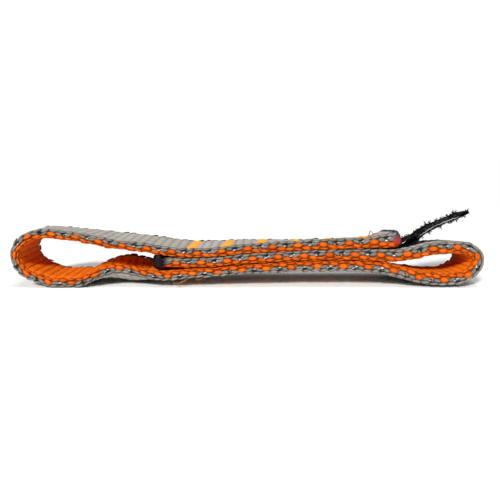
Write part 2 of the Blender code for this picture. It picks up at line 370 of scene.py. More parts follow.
@dataclass(frozen=True)
class WovenNylon(Finish):
    """Dyed, woven nylon 6 filament yarn: painted highlights on its crests, painted shade in its gaps.

    Four point attributes colour it. Crown is 0 deep in the weave and 1 on a yarn's crest, and paints
    shade in the gaps and a highlight on the crests; tone is a shade of its own for each yarn; melt is 1
    where heat has fused the yarn; and the fourth is 1 at the inner cut end, which lies in shade
    between the plies and is painted near black there.
    """

    # deep is painted shade for the gaps in the weave, crest a painted highlight for the crests
    deep: str
    body: str
    crest: str
    melted: str
    # near black painted shade over the inner cut end, which lies between the plies
    painted_end_shade: str = "1a0c14"
    filament_mm: float = 0.16  # real filaments are 0.03 mm, drawn coarser so that they show

    def surface(self, tree: bpy.types.NodeTree) -> dict[str, Any]:
        """Yarns with painted shade in their gaps and a painted highlight on their crests.

        Colour runs from deep to body to crest with crown, is shifted by tone and by fine streaks
        along the yarn, and gives way to the melted colour and, at the inner cut end, to a near black
        painted shade.

        Args:
            tree: where its nodes go.

        Returns:
            The shader's inputs.
        """
        crown, tone, melt, end_shade = (
            add_node(tree, "ShaderNodeAttribute", attribute_name=name).outputs["Fac"]
            for name in ("crown", "tone", "melt", "end_shade")
        )
        yarn = add_node(tree, "ShaderNodeUVMap", uv_map="yarn").outputs["UV"]
        # the yarn map is in mm, so a scale of 1 / filament gives one streak a filament
        scale = (0.25 / self.filament_mm, 1.0 / self.filament_mm, 1.0)
        drawn = add_node(tree, "ShaderNodeMapping", {"Vector": yarn, "Scale": scale}).outputs["Vector"]
        streaks, blotches = (
            add_node(
                tree, "ShaderNodeTexNoise", {"Vector": place, "Scale": size, "Detail": detail}
            ).outputs["Fac"]
            for place, size, detail in ((drawn, 1.0, 2.0), (yarn, 0.35, 3.0))
        )
        # painted shade and highlight: the deep colour in the weave's gaps, the crest colour on the crests
        dyed = linear(self.deep)
        for start, end, shade in ((0.0, 0.45, self.body), (0.4, 1.0, self.crest)):
            share = add_node(
                tree, "ShaderNodeMapRange", {"Value": crown, "From Min": start, "From Max": end},
                interpolation_type="SMOOTHSTEP",
            ).outputs["Result"]
            dyed = add_node(
                tree, "ShaderNodeMix", {0: share, MIX_A: dyed, MIX_B: linear(shade)}, data_type="RGBA"
            ).outputs[MIX_COLOUR]
        shade = blotches
        for operation, values in (
            ("ADD", {1: streaks}), ("MULTIPLY_ADD", {1: 0.6, 2: 0.42}), ("MULTIPLY", {1: tone})
        ):
            shade = add_node(tree, "ShaderNodeMath", {0: shade, **values}, operation=operation).outputs[0]
        colour = add_node(
            tree, "ShaderNodeHueSaturation", {"Value": shade, "Color": dyed}
        ).outputs["Color"]
        # the melted colour, then near black painted shade over the inner cut end
        for share, end_colour in ((melt, self.melted), (end_shade, self.painted_end_shade)):
            colour = add_node(
                tree, "ShaderNodeMix", {0: share, MIX_A: colour, MIX_B: linear(end_colour)}, data_type="RGBA"
            ).outputs[MIX_COLOUR]
        bump = add_node(
            tree, "ShaderNodeBump", {"Height": streaks, "Strength": 0.6, "Distance": 0.06 * MM}
        ).outputs["Normal"]
        return {"Base Color": colour, "Normal": bump, "Roughness": 0.85, "IOR": 1.53,
                "Specular IOR Level": 0.12}


@dataclass(frozen=True)
class SewingThread(Finish):
    """Bonded polyester sewing thread: a soft shine, part sheen and part painted highlight, and twisted
    strands.
    """

    name: str = "bonded_polyester_thread"
    body: str = "e08202"
    crest: str = "fb9f02"
    deep: str = "6a2c02"
    strand_mm: float = 0.3553  # real strands are 0.1 mm, drawn coarser so that they show

    def surface(self, tree: bpy.types.NodeTree) -> dict[str, Any]:
        """Three shades by crown, painted shade on each stitch's lower side and a painted highlight on its
        top, and slanted strand lines from the yarn map.

        Args:
            tree: where its nodes go.

        Returns:
            The shader's inputs.
        """
        crown, tone = (
            add_node(tree, "ShaderNodeAttribute", attribute_name=name).outputs["Fac"]
            for name in ("crown", "tone")
        )
        yarn = add_node(tree, "ShaderNodeUVMap", uv_map="yarn").outputs["UV"]
        turned = add_node(
            tree, "ShaderNodeMapping", {"Vector": yarn, "Rotation": (0.0, 0.0, math.radians(35))}
        ).outputs["Vector"]
        strands = add_node(
            tree, "ShaderNodeTexWave",
            {"Vector": turned, "Scale": WAVE_PITCH / self.strand_mm, "Distortion": 0.6},
            bands_direction="Y",
        ).outputs["Fac"]
        # painted highlight: the crest colour only on the very top of each stitch
        lit = add_node(tree, "ShaderNodeMath", {0: crown, 1: 3.0}, operation="POWER").outputs[0]
        dyed = linear(self.deep)
        for share, shade in ((crown, self.body), (lit, self.crest)):
            dyed = add_node(
                tree, "ShaderNodeMix", {0: share, MIX_A: dyed, MIX_B: linear(shade)}, data_type="RGBA"
            ).outputs[MIX_COLOUR]
        tinted = add_node(
            tree, "ShaderNodeHueSaturation", {"Value": tone, "Color": dyed}
        ).outputs["Color"]
        bump = add_node(
            tree, "ShaderNodeBump", {"Height": strands, "Strength": 0.4, "Distance": 0.03 * MM}
        ).outputs["Normal"]
        return {"Base Color": tinted, "Normal": bump, "Roughness": 0.62, "IOR": 1.55,
                "Sheen Weight": 0.1}


@dataclass(frozen=True)
class LabelWeave(Finish):
    """Black woven polyester label tape: fine cross ribs, a painted grey highlight along its raised edges."""

    name: str = "black_woven_label_tape"
    body: str = "020204"
    edge_highlight: str = "211f1d"
    rib_mm: float = 0.6909  # real picks are 0.12 mm apart, drawn coarser so that they show

    def surface(self, tree: bpy.types.NodeTree) -> dict[str, Any]:
        """Wave ribs across the tape and painted grey highlight streaks along it.

        Args:
            tree: where its nodes go.

        Returns:
            The shader's inputs.
        """
        crown = add_node(tree, "ShaderNodeAttribute", attribute_name="crown").outputs["Fac"]
        yarn = add_node(tree, "ShaderNodeUVMap", uv_map="yarn").outputs["UV"]
        ribs = add_node(
            tree, "ShaderNodeTexWave",
            {"Vector": yarn, "Scale": WAVE_PITCH / self.rib_mm, "Distortion": 1.2},
            bands_direction="X",
        ).outputs["Fac"]
        stretched = add_node(
            tree, "ShaderNodeMapping", {"Vector": yarn, "Scale": (0.4, 5.0, 1.0)}
        ).outputs["Vector"]
        streaks = add_node(
            tree, "ShaderNodeTexNoise", {"Vector": stretched, "Scale": 1.0, "Detail": 3.0}
        ).outputs["Fac"]
        # painted highlight: grey streaks where crown is high, on the raised edge beads
        highlight_share = add_node(
            tree, "ShaderNodeMapRange", {"Value": streaks, "From Min": 0.5, "From Max": 0.72}
        ).outputs["Result"]
        shown = add_node(tree, "ShaderNodeMath", {0: highlight_share, 1: crown}, operation="MULTIPLY").outputs[0]
        colour = add_node(
            tree, "ShaderNodeMix", {0: shown, MIX_A: linear(self.body), MIX_B: linear(self.edge_highlight)},
            data_type="RGBA",
        ).outputs[MIX_COLOUR]
        bump = add_node(
            tree, "ShaderNodeBump", {"Height": ribs, "Strength": 0.5, "Distance": 0.05 * MM}
        ).outputs["Normal"]
        return {"Base Color": colour, "Normal": bump, "Roughness": 0.85, "IOR": 1.55,
                "Specular IOR Level": 0.06}


@dataclass(frozen=True)
class PlainFibre(Finish):
    """A single loose fibre's finish: one colour, with a soft shine."""

    colour: str
    roughness: float

    def surface(self, tree: bpy.types.NodeTree) -> dict[str, Any]:
        """The fibre's colour, lightened and darkened along its length.

        Args:
            tree: where its nodes go.

        Returns:
            The shader's inputs.
        """
        yarn = add_node(tree, "ShaderNodeUVMap", uv_map="yarn").outputs["UV"]
        streaks = add_node(
            tree, "ShaderNodeTexNoise", {"Vector": yarn, "Scale": 2.0, "Detail": 1.0}
        ).outputs["Fac"]
        value = add_node(
            tree, "ShaderNodeMapRange", {"Value": streaks, "To Min": 0.6, "To Max": 1.5}
        ).outputs["Result"]
        colour = add_node(
            tree, "ShaderNodeHueSaturation", {"Value": value, "Color": linear(self.colour)}
        ).outputs["Color"]
        return {"Base Color": colour, "Roughness": self.roughness, "IOR": 1.53}


@dataclass(frozen=True)
class MeltedNylon(Finish):
    """Nylon fused by a hot knife: a smooth bead, darker than the yarns that ran together."""

    grey_side: str
    orange_side: str
    roughness: float = 0.32
    gloss: float = 0.35
    bead_mm: float = 0.5

    def surface(self, tree: bpy.types.NodeTree) -> dict[str, Any]:
        """Attribute side runs from the orange face to the grey face, and beads stray over it.

        Args:
            tree: where its nodes go.

        Returns:
            The shader's inputs.
        """
        side = add_node(tree, "ShaderNodeAttribute", attribute_name="side").outputs["Fac"]
        place = add_node(tree, "ShaderNodeTexCoord").outputs["Object"]
        beads = add_node(
            tree, "ShaderNodeTexNoise",
            {"Vector": place, "Scale": 1.0 / (self.bead_mm * MM), "Detail": 3.0},
        ).outputs["Fac"]
        strayed = add_node(
            tree, "ShaderNodeMath", {0: beads, 1: 0.9, 2: -0.55}, operation="MULTIPLY_ADD"
        ).outputs[0]
        mixed = add_node(tree, "ShaderNodeMath", {0: side, 1: strayed}, operation="ADD").outputs[0]
        share = add_node(
            tree, "ShaderNodeMapRange", {"Value": mixed, "From Min": 0.35, "From Max": 0.65},
            interpolation_type="SMOOTHSTEP",
        ).outputs["Result"]
        colour = add_node(
            tree, "ShaderNodeMix",
            {0: share, MIX_A: linear(self.orange_side), MIX_B: linear(self.grey_side)},
            data_type="RGBA",
        ).outputs[MIX_COLOUR]
        bump = add_node(
            tree, "ShaderNodeBump", {"Height": beads, "Strength": 0.5, "Distance": 0.12 * MM}
        ).outputs["Normal"]
        return {"Base Color": colour, "Normal": bump, "Roughness": self.roughness, "IOR": 1.53,
                "Specular IOR Level": self.gloss}


@dataclass(frozen=True)
class StudioPaper(Finish):
    """White background paper: matt and even."""

    name: str = "white_background_paper"
    colour: str = "fbfbfa"

    def surface(self, tree: bpy.types.NodeTree) -> dict[str, Any]:
        """One plain colour.

        Args:
            tree: where nodes would go, had it a pattern.

        Returns:
            The shader's inputs.
        """
        return {"Base Color": linear(self.colour), "Roughness": 0.9, "Specular IOR Level": 0.2}


@dataclass
class StrapRoute:
    """The strap's centreline, with the directions and sizes of its cross section along it."""

    width: float = 20.0 * MM
    floor_clearance: float = 1.42 * MM  # lowest centreline, so that the selvedge stands on the floor
    core_bank: float = math.radians(6.3)
    small_loop_bank: float = math.radians(3.2)
    core_bank_x: tuple[float, float] = (-20.0 * MM, 22.0 * MM)
    small_loop_bank_x: tuple[float, float] = (34.0 * MM, 48.0 * MM)
    # each loop's upper arm leans more: x where that starts, is full, starts to fade and ends
    large_arm_bank: float = math.radians(3.4)
    large_arm_x: tuple[float, ...] = (-59.0 * MM, -50.0 * MM, -47.0 * MM, -31.0 * MM)
    small_arm_bank: float = math.radians(2.2)
    small_arm_x: tuple[float, ...] = (41.0 * MM, 48.0 * MM, 55.0 * MM, 58.9 * MM)
    cup_depth: float = 3.4 * MM
    cup_centre_x: float = -31.5 * MM
    cup_half_length: float = 11.0 * MM
    pressed_flat: float = 0.35 * MM  # yarns this close to the floor are flattened by it
    thinnest_half: float = 1.17 * MM
    # how much fuller half of the strap gets, and between which x: all in mm
    fuller_mm: tuple[tuple[float, float, float], ...] = ((0.12, -12, 4), (0.1, 8, 24), (0.19, 27, 35))
    swollen: float = 0.5 * MM  # and more still at the outer cut end, where the yarns spread
    swollen_from_end: tuple[float, float] = (4.6 * MM, 1.3 * MM)
    step: float = 0.1 * MM

    def __post_init__(self) -> None:
        """Sample the route at equal steps and work out each sample's directions."""
        dense = catmull_rom(np.array(STRAP_ROUTE_MM) * MM)
        dense[:, 1] = np.maximum(dense[:, 1], self.floor_clearance)
        run = np.concatenate([[0.0], np.cumsum(np.linalg.norm(np.diff(dense, axis=0), axis=1))])
        self.length = float(run[-1])
        self.s = np.linspace(0.0, self.length, int(self.length / self.step) + 1)
        x, z = np.interp(self.s, run, dense[:, 0]), np.interp(self.s, run, dense[:, 1])
        self.x = x
        self.point = np.stack([x, np.zeros_like(x), z], axis=1)
        self.right_turn, self.left_turn = int(np.argmax(x)), int(np.argmin(x))
        softened = np.stack([self.soften(x), np.zeros_like(x), self.soften(z)], axis=1)
        self.along = unit(np.gradient(softened, axis=0))
        order = np.arange(len(x))
        bank = self.core_bank * smoothstep(x, *self.core_bank_x)
        bank -= (self.core_bank - self.small_loop_bank) * smoothstep(x, *self.small_loop_bank_x)
        for extra, places, arm in (
            (self.large_arm_bank, self.large_arm_x, order > self.left_turn),
            (self.small_arm_bank, self.small_arm_x, order < self.right_turn),
        ):
            bank += extra * smoothstep(x, *places[:2]) * (1.0 - smoothstep(x, *places[2:])) * arm
        self.across = np.stack([np.zeros_like(x), np.cos(bank), -np.sin(bank)], axis=1)
        self.outward = unit(np.cross(self.along, self.across))
        lower_arm = (order > self.right_turn) & (order < self.left_turn)
        reach = np.abs(x - self.cup_centre_x) / self.cup_half_length
        self.cup = self.cup_depth * (1.0 - smoothstep(reach, 0.0, 1.0)) * lower_arm

    @staticmethod
    def soften(values: np.ndarray, samples: int = 9) -> np.ndarray:
        """A running mean over an odd number of samples, with the ends held."""
        padded = np.pad(values, samples // 2, mode="reflect", reflect_type="odd")
        return np.convolve(padded, np.full(samples, 1.0 / samples), mode="valid")

    def half_thickness(self, s: np.ndarray) -> np.ndarray:
        """Half of the woven strap's thickness: it is pressed hard at the left and fuller at the right.

        Args:
            s: length along the strap.

        Returns:
            The half thickness at each s: the thinnest, plus an S-curve for each of fuller_mm, plus
            one for the swollen end.
        """
        x = np.interp(s, self.s, self.x)
        fuller = sum(more * smoothstep(x, a * MM, b * MM) for more, a, b in self.fuller_mm) * MM
        starts, full = (self.length - back for back in self.swollen_from_end)
        return self.thinnest_half + fuller + self.swollen * smoothstep(s, starts, full)

    def place(self, s: np.ndarray, across: np.ndarray, out: np.ndarray) -> np.ndarray:
        """Turn strap coordinates into places.

        A place is the centreline's point at s, plus the across direction times across, plus the
        outward direction times out, plus the cup: cup depth times (share² - 1/2) upwards, where
        share is across over half of the width. Where that lies lower than f = pressed_flat, its
        height z becomes f times e to the power (z - f) / f, which never reaches the floor.

        Args:
            s: length along the strap from its inner cut end.
            across: distance from the centreline, positive towards the far edge.
            out: distance from the centreline, positive on the grey side.

        Returns:
            Places, one for each set of three.
        """
        s, across, out = np.broadcast_arrays(s, across, out)
        index = np.clip(s / self.length * (len(self.s) - 1), 0, len(self.s) - 1.0001)
        low = index.astype(int)
        part = (index - low)[..., None]

        def read(table: np.ndarray) -> np.ndarray:
            """A table's rows at each s, read in a straight line between two samples."""
            return table[low] * (1 - part) + table[low + 1] * part

        beyond = (s - np.clip(s, 0.0, self.length))[..., None]
        share = across / (self.width / 2)
        lift = read(self.cup[:, None]) * (share * share - 0.5)[..., None] * [0.0, 0.0, 1.0]
        spread = read(self.across) * across[..., None] + read(self.outward) * out[..., None]
        places = read(self.point) + read(self.along) * beyond + spread + lift
        pressed = np.minimum(places[..., 2] / self.pressed_flat - 1.0, 0.0)
        low_height = self.pressed_flat * np.exp(pressed)
        places[..., 2] = np.where(pressed < 0.0, low_height, places[..., 2])
        return places

    def beat(self, s: np.ndarray) -> np.ndarray:
        """How far the weave has shifted along the strap at s, read in straight lines from a table."""
        places = [self.at_x(ply, x * MM) for ply, x, _ in BEAT_SHIFTS]
        return np.interp(s, places, [shift * MM for _, _, shift in BEAT_SHIFTS])

    def at_x(self, ply: Ply, x: float) -> float:
        """Length along the strap where a ply passes x.

        Args:
            ply: which branch.
            x: the place along the sling.

        Returns:
            The length from the inner cut end.
        """
        first, last = {
            Ply.MIDDLE: (0, self.right_turn),
            Ply.BOTTOM: (self.right_turn, self.left_turn),
            Ply.TOP: (self.left_turn, len(self.s) - 1),
        }[ply]
        return float(self.s[first + int(np.argmin(np.abs(self.x[first : last + 1] - x)))])


@dataclass
class TackPlan:
    """Where the bar tacks are, and how they press the strap."""

    route: StrapRoute
    length: float = 17.0 * MM
    width: float = 2.5 * MM
    skew: float = math.tan(math.radians(3.0))
    press_depth: float = 0.2 * MM

    def __post_init__(self) -> None:
        """Find each tack on the top and the bottom ply."""
        self.top = np.array([self.route.at_x(Ply.TOP, x) for x in TACK_X])
        self.bottom = np.array([self.route.at_x(Ply.BOTTOM, x) for x in TACK_X])

    def centre(self, ply: Ply, number: int, across: np.ndarray) -> np.ndarray:
        """Length along the strap of a tack's centreline: its far end leans towards +X."""
        start, sign = (self.top, 1.0) if ply is Ply.TOP else (self.bottom, -1.0)
        return start[number] + sign * self.skew * across

    def pressed(self, s: np.ndarray, across: np.ndarray) -> np.ndarray:
        """How far the tacks draw in the grey face.

        Across each tack it is a bell, e to the power -(distance / (0.8 of the tack's width))², and it
        fades past the tack's two ends.

        Args:
            s: length along the strap.
            across: place across it.

        Returns:
            A share from 0 to 1.
        """
        depth = np.zeros(np.broadcast(s, across).shape)
        ends = 1.0 - smoothstep(np.abs(across), self.length / 2 - 0.5 * MM, self.length / 2 + 1.5 * MM)
        for ply in (Ply.TOP, Ply.BOTTOM):
            for number in range(len(TACK_X)):
                off = (s - self.centre(ply, number, across)) / (0.8 * self.width)
                depth = np.maximum(depth, np.exp(-off * off) * ends)
        return depth


@dataclass
class StrapWeave:
    """The strap's woven body: two faces of lengthwise yarns that rise over each rib."""

    route: StrapRoute
    tacks: TackPlan
    rib: float = 2.16 * MM
    columns: int = 22
    face_half_width: float = 9.4 * MM
    rib_rise: float = 0.2 * MM
    yarn_rise: float = 0.13 * MM
    samples_a_rib: int = 7
    edge_drop: float = 0.55 * MM
    wall_inset: float = 0.35 * MM
    wall_samples: int = 3
    grey_valley: float = 0.48  # crown between ribs, for painted shade there: less on the flatter grey face
    orange_valley: float = 0.05
    girth_step: float = 0.24  # mm of yarn map from one place across to the next

    def across_samples(self) -> tuple[np.ndarray, np.ndarray, np.ndarray]:
        """Places across one face: each yarn's own profile, and the yarn's number.

        Returns:
            The place across, the height of a round yarn there from 0 in the gap to 1 on its crest,
            and the yarn that it belongs to.
        """
        inside = np.array([0.0, 0.18, 0.5, 0.82])
        pitch = 2 * self.face_half_width / self.columns
        number = np.repeat(np.arange(self.columns), len(inside))
        share = np.tile(inside, self.columns)
        place = -self.face_half_width + (number + share) * pitch
        round_top = np.sqrt(np.clip(1 - (2 * share - 1) ** 2, 0, 1))
        place = np.append(place, self.face_half_width)
        return place, np.append(round_top, 0.0), np.append(number, self.columns - 1)

    def face_height(
        self, s: np.ndarray, across: np.ndarray, top: np.ndarray, number: np.ndarray, phase: float,
        valley: float,
    ) -> tuple[np.ndarray, np.ndarray]:
        """Height of a face above the strap's flat body, and its crown value.

        Along the strap each yarn rises over a rib as |cos(pi s / rib)| to the power 0.55, shifted a
        little from yarn to yarn, with a shallow crease on the rib's own crest. Across, it is a half
        circle. The height is the rib's rise times the first, plus the yarn's rise times both. Near
        the edges the face bends down.

        Args:
            s: length along the strap, as a column.
            across: place across, as a row.
            top: each place's own round profile.
            number: each place's yarn.
            phase: shifts the ribs along the strap, in ribs.
            valley: the crown value left in the valleys between ribs, which sets their painted shade.

        Returns:
            The height in metres, and the crown from 0 to 1, which paints shade in the valleys and where
            the face bends down at its edges.
        """
        shift = phase + 0.06 * (number % 2) + 0.05 * np.sin(2.1 * number)
        main = np.abs(np.cos(math.pi * (s / self.rib - shift))) ** 0.55
        second = np.abs(np.sin(math.pi * (s / self.rib - shift))) ** 0.5
        swell = main * (0.72 + 0.28 * second)
        uneven = 1.0 + 0.12 * np.sin(0.9 * number + 260.0 * s) * np.cos(1.7 * number)
        height = self.rib_rise * swell * uneven + self.yarn_rise * top * (0.35 + 0.65 * swell)
        flat = 0.9 * self.face_half_width
        bend = np.clip((np.abs(across) - flat) / (self.face_half_width - flat), 0, 1)
        # painted shade: crown drops between the yarns, in the valleys between ribs and where the face bends
        # down
        crown = (0.55 + 0.45 * top) * (valley + (1 - valley) * swell) * (1 - 0.9 * bend)
        return height - self.edge_drop * bend**2, crown

    def stretch(self, start: float, end: float) -> MeshParts:
        """The closed woven body between two lengths along the strap.

        Each ring of points runs over the grey face from the near edge to the far one, down the far
        wall, back over the orange face and up the near wall. A fan closes each end.

        Args:
            start: where it begins.
            end: where it ends.

        Returns:
            The arrays of the mesh.
        """
        route = self.route
        s = np.arange(math.ceil(start / self.rib * self.samples_a_rib),
                      math.floor(end / self.rib * self.samples_a_rib) + 1)
        s = np.unique(np.concatenate([[start], s * self.rib / self.samples_a_rib, [end]]))[:, None]
        s = s[np.concatenate([[True], np.diff(s[:, 0]) > 0.01 * MM])]
        across, top, number = self.across_samples()
        half = route.half_thickness(s) - self.rib_rise * 0.75 - self.yarn_rise * 0.6
        beaten = s - route.beat(s)
        grey, grey_crown = self.face_height(beaten, across, top, number, 0.0, self.grey_valley)
        orange, orange_crown = self.face_height(beaten, across, top, number, 0.5, self.orange_valley)
        pressed = self.tacks.pressed(s, across)
        grey = grey * (1 - 0.6 * pressed) - self.tacks.press_depth * pressed
        wall = np.linspace(1.0, -1.0, self.wall_samples + 2)[1:-1]
        wall_across = np.full(self.wall_samples, self.face_half_width - self.wall_inset)
        wall_out = (half - self.edge_drop) * wall
        # painted shade: a low crown darkens the wall that shows in the gaps between edge segments
        wall_crown = np.full(wall_out.shape, 0.3)
        wall_number = np.full(self.wall_samples, number[0])
        out = np.concatenate(
            [half + grey, wall_out, (-half - orange)[:, ::-1], wall_out[:, ::-1]], axis=1
        )
        place = np.concatenate([across, wall_across, across[::-1], -wall_across])
        crown = np.concatenate([grey_crown, wall_crown, orange_crown[:, ::-1], wall_crown], axis=1)
        numbers = np.concatenate([number, wall_number, number[::-1], wall_number])
        tone = 1.0 + 0.05 * np.sin(numbers * 2.3 + 0.4) + 0.04 * wobble(s, 31 * MM, 5)
        points = route.place(s, place, out)
        rows, columns = out.shape
        along = np.broadcast_to(s, out.shape).ravel()
        girth = np.tile(self.girth_step * np.arange(1, columns + 1), rows)
        quads, fans = closed_rings(rows, columns)
        column = np.tile(np.arange(columns), rows - 1)
        grey_columns = len(across) + self.wall_samples // 2
        is_orange = (column >= grey_columns) & (column < columns - 1 - self.wall_samples // 2)
        return MeshParts(
            points=np.concatenate([points.reshape(-1, 3), points[[0, -1]].mean(axis=1)]),
            faces=[quads, fans],
            values={
                "crown": np.append(crown, [0.0, 0.0]),
                "tone": np.append(tone, [1.0, 1.0]),
                **self.ends(np.append(along, [start, end])),
            },
            slots=[is_orange.astype(int), np.zeros(len(fans), int)],
            yarn=np.concatenate([np.stack([along / MM, girth], axis=1), np.zeros((2, 2))]),
        )

    def ends(self, s: np.ndarray) -> dict[str, np.ndarray]:
        """Melt values along the strap, its last millimetres at each cut end, and painted shade at the inner
        one, which lies between the plies.

        Args:
            s: length along the strap.

        Returns:
            The values by attribute name, each an S-curve from 1 at the cut to 0 past the fused yarn.
        """
        inner = 1.0 - smoothstep(s, 0.8 * MM, 3.4 * MM)
        outer = 1.0 - smoothstep(self.route.length - s, 0.9 * MM, 2.6 * MM)
        # the second value paints near black shade over the inner cut end
        return {"melt": np.maximum(inner, outer), "end_shade": inner}


@dataclass
class Grain:
    """One yarn segment on the selvedge, in a repeat of three ribs. Pale and near black ones are a
    painted glint and painted shade, built the same way.

    Lengths are in mm. along counts ribs from the repeat's start, out runs from the orange side,
    negative, to the grey side, positive, for a strap twice Selvedge.nominal_half thick. lean is in
    degrees, and slot is the material's number.
    """

    along: float
    out: float
    length: float
    height: float
    depth: float
    lean: float
    slot: int
    tone: float = 1.0


GREY, ORANGE, PALE = 0, 1, 2

# the selvedge's repeat: a big orange knob, two smaller ones that step down, thin orange yarns under
# them, and grey yarns that slope down and up again between knobs; among them pale painted glints of
# the shiny grey yarn, and near black segments that are painted shade in the gaps
SELVEDGE_REPEAT = [
    Grain(0.00, 0.06, 2.35, 1.04, 0.68, -4, ORANGE, 1.08),
    Grain(1.02, -0.50, 2.35, 0.84, 0.60, -5, ORANGE, 1.0),
    Grain(2.00, -0.68, 2.25, 0.70, 0.54, -4, ORANGE, 0.95),
    Grain(0.05, -0.80, 2.25, 0.44, 0.48, 0, ORANGE, 0.88),
    Grain(1.25, -1.03, 2.0, 0.32, 0.42, 0, ORANGE, 0.8),
    Grain(0.20, 0.86, 2.6, 0.54, 0.48, 4, GREY, 1.0),
    Grain(0.85, 0.34, 2.0, 0.72, 0.56, -14, GREY, 0.92),
    Grain(1.22, 0.90, 2.4, 0.50, 0.46, 6, GREY, 0.95),
    Grain(2.12, 0.16, 2.2, 0.72, 0.54, 14, GREY, 0.86),
    Grain(2.15, 0.80, 2.4, 0.58, 0.50, 7, GREY, 1.05),
    # painted glints: pale segments where the shiny grey yarn catches the light
    Grain(1.46, 0.04, 1.1, 0.28, 0.54, 8, PALE, 1.0),
    Grain(1.78, 0.32, 0.95, 0.24, 0.54, 16, PALE, 0.85),
    # near black segments: painted shade in the pits between the grey yarns
    Grain(1.60, 0.58, 1.7, 0.2, 0.56, 5, GREY, 0.1),
    Grain(1.66, 0.16, 0.7, 0.3, 0.5, 14, GREY, 0.12),
    Grain(0.52, 0.64, 1.2, 0.14, 0.54, -8, GREY, 0.15),
]

# how far the weave runs ahead of an even beat at places along the strap: ply, x and shift in mm
BEAT_SHIFTS = [
    (Ply.MIDDLE, -17.6, -1.8), (Ply.MIDDLE, -1.0, -1.6), (Ply.MIDDLE, 28.0, -1.5),
    (Ply.MIDDLE, 42.0, -1.1), (Ply.MIDDLE, 50.0, -0.75),
    (Ply.BOTTOM, 50.0, -3.1), (Ply.BOTTOM, 30.0, -2.8), (Ply.BOTTOM, 12.0, -2.45),
    (Ply.BOTTOM, -10.0, -2.9), (Ply.BOTTOM, -26.0, -3.15), (Ply.BOTTOM, -35.0, -3.9),
    (Ply.BOTTOM, -50.0, -3.9),
    (Ply.TOP, -50.0, -6.28), (Ply.TOP, -44.0, -6.48), (Ply.TOP, -38.0, -6.75),
    (Ply.TOP, -32.0, -7.3), (Ply.TOP, -25.1, -7.95), (Ply.TOP, -18.0, -8.18), (Ply.TOP, 5.0, -8.3),
    (Ply.TOP, 35.0, -8.48),
]


@dataclass
class Selvedge:
    """The strap's woven edges, built from short round yarn segments."""

    weave: StrapWeave
    seat: float = 9.38 * MM  # how far out the segments' middles lie
    rings: int = 6
    sides: int = 7
    nominal_half: float = 1.13 * MM
    pale_lost: float = 0.3  # share of the pale painted glints that are left out
    fullness: float = 1.1  # a little longer and fatter than their pitch, so that they touch
    # how much segments differ: in place along and out (mm), length, height, depth and lean (degrees)
    spread: tuple[float, ...] = (0.07, 0.05, 0.05, 0.06, 0.06, 5.0)

    def segment(self) -> tuple[np.ndarray, np.ndarray, np.ndarray]:
        """One closed segment of unit size.

        Its length runs from -1 to 1, and its radius is (1 - |a|^2.3) to the power 0.62, so it is
        full over most of its length and blunt at its ends.

        Returns:
            Points (along, out, sideways), quads, and triangles at the poles.
        """
        a = np.sin(np.linspace(-1, 1, self.rings + 2)[1:-1] * math.pi / 2 * 0.97)
        b = np.arange(self.sides) * 2 * math.pi / self.sides
        radius = ((1 - np.abs(a) ** 2.3) ** 0.62)[:, None]
        along = np.broadcast_to(a[:, None], (self.rings, self.sides))
        points = np.stack([along, radius * np.sin(b), radius * np.cos(b)], axis=-1).reshape(-1, 3)
        quads, poles = closed_rings(self.rings, self.sides)
        return np.concatenate([points, [[-1, 0, 0], [1, 0, 0]]]), quads[:, ::-1], poles[:, ::-1]

    def edge(self, edge: Edge, start: float, end: float, seed: int) -> MeshParts:
        """Every segment of one edge between two lengths along the strap.

        Args:
            edge: near or far.
            start: where it begins.
            end: where it ends.
            seed: picks the small differences between segments.

        Returns:
            The arrays of the mesh.
        """
        route, repeat = self.weave.route, 3 * self.weave.rib
        rng = np.random.default_rng(seed)
        repeats = np.arange(math.floor(start / repeat) - 2, math.ceil(end / repeat) + 3)
        grains = np.tile([astuple(grain) for grain in SELVEDGE_REPEAT], (len(repeats), 1))
        differ = rng.normal(0.0, 1.0, (len(grains), 6)) * self.spread
        later = 0.0 if edge is Edge.NEAR else 0.5
        centre = (np.repeat(repeats, len(SELVEDGE_REPEAT)) + grains[:, 0] / 3 + later) * repeat
        centre = centre + route.beat(centre) + differ[:, 0] * MM
        lost = (grains[:, 6] == PALE) & (rng.random(len(grains)) < self.pale_lost)
        keep = (centre > start) & (centre < end) & ~lost
        centre = centre[keep]
        _, out, length, height, depth, lean, slots, tone = grains[keep].T
        _, strayed, longer, higher, deeper, leaned = differ[keep].T
        scale = route.half_thickness(centre) / self.nominal_half
        out = (out * scale + strayed) * MM
        half_length = self.fullness * length / 2 * MM * (1 + longer)
        half_height = self.fullness * height / 2 * MM * scale * (1 + higher)
        depth = depth * MM * (1 + deeper)
        lean = np.radians(lean + leaned)[:, None]
        skewed = np.clip(0.16 + 0.14 * rng.normal(0, 1, len(centre)), -0.3, 0.45)
        unit_points, quads, poles = self.segment()
        x = unit_points[:, 0] * half_length[:, None]
        y = unit_points[:, 1] * half_height[:, None] * (1.0 + skewed[:, None] * unit_points[:, 0])
        s = centre[:, None] + x * np.cos(lean) - y * np.sin(lean)
        n = out[:, None] + x * np.sin(lean) + y * np.cos(lean)
        v = edge.value * (self.seat + unit_points[:, 2] * depth[:, None])
        points = route.place(s, v, n).reshape(-1, 3)
        count, size = len(centre), len(unit_points)
        if edge is Edge.FAR:
            quads, poles = quads[:, ::-1], poles[:, ::-1]
        # painted shade: each segment is darker on its side towards the wall and at its ends, where it dives
        # under
        crown = np.clip(0.3 + 0.75 * unit_points[:, 2] - 0.35 * np.abs(unit_points[:, 0]) ** 3, 0, 1)
        tone = tone * (1 + 0.09 * rng.normal(0, 1, count))
        slots = slots.astype(int)
        return MeshParts(
            points=points,
            faces=[repeated(quads, count, size), repeated(poles, count, size)],
            values={
                "crown": np.tile(crown, count),
                "tone": tone.repeat(size),
                **self.weave.ends(s.ravel()),
            },
            slots=[slots.repeat(len(quads)), slots.repeat(len(poles))],
            yarn=np.stack([s.ravel(), (n + v).ravel()], axis=1) / MM,
        )


